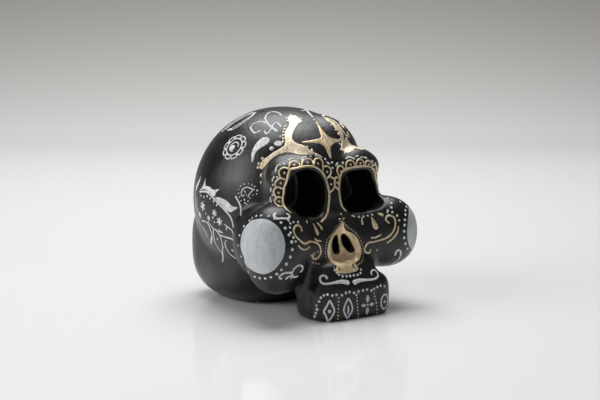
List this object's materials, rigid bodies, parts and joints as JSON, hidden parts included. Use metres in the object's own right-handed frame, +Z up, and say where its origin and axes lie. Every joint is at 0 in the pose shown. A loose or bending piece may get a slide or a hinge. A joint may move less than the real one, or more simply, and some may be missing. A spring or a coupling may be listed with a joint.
{
  "type": "painted craft skull ornament",
  "caption": "Small black craft skull without a lower jaw, domed cheeks, deep eye sockets and raised white and gold painted decoration",
  "frame": {"origin": "on the table, under the middle of the object's bounding box", "axes": "+Z up, the face looks along -Y, the skull's own right side is -X"},
  "size_m": [0.0806, 0.0887, 0.0818],
  "materials": {
    "black_body": "satin black paint over fired clay",
    "white_paint": "matte white acrylic marker",
    "gold_paint": "champagne gold metallic marker"
  },
  "bodies": {
    "root": {"brow_crest_left": "gold_paint", "brow_crest_right": "gold_paint", "cheek_disc_left": "white_paint", "cheek_disc_right": "white_paint", "cheek_dot_ring_left": "white_paint", "cheek_dot_ring_right": "white_paint", "cheek_hook_left": "white_paint", "cheek_hook_right": "white_paint", "cheek_pad_left": "black_body", "cheek_pad_right": "black_body", "cheek_ribbon_right": "white_paint", "cheek_scroll_left": "gold_paint", "cheek_scroll_right": "gold_paint", "cranium_casting": "black_body", "crown_cross": "white_paint", "crown_leaf": "white_paint", "crown_loop_scroll": "white_paint", "eye_dot_arc_left": "white_paint", "eye_dot_arc_right": "white_paint", "eye_rim_left": "gold_paint", "eye_rim_right": "gold_paint", "eye_scallops_left": "gold_paint", "eye_scallops_right": "gold_paint", "face_casting": "black_body", "forehead_sprig_left": "white_paint", "forehead_star": "gold_paint", "moustache_left": "white_paint", "moustache_right": "white_paint", "nose_bead_row": "white_paint", "nose_leaf": "gold_paint", "side_plant": "white_paint", "side_rosette": "white_paint", "side_stem": "white_paint", "small_paisley": "white_paint", "temple_drop": "white_paint", "temple_oval_large": "white_paint", "temple_oval_small": "white_paint", "tooth_dot_line": "white_paint", "tooth_line_1": "gold_paint", "tooth_line_2": "gold_paint", "tooth_line_3": "gold_paint", "tooth_motif_1": "white_paint", "tooth_motif_2": "white_paint", "tooth_motif_3": "white_paint", "tooth_motif_4": "white_paint", "under_eye_drop_left": "gold_paint", "under_eye_drop_right": "gold_paint", "under_eye_tick_left": "gold_paint", "under_eye_tick_right": "gold_paint", "upper_tooth_block": "black_body"}
  },
  "joints": []
}
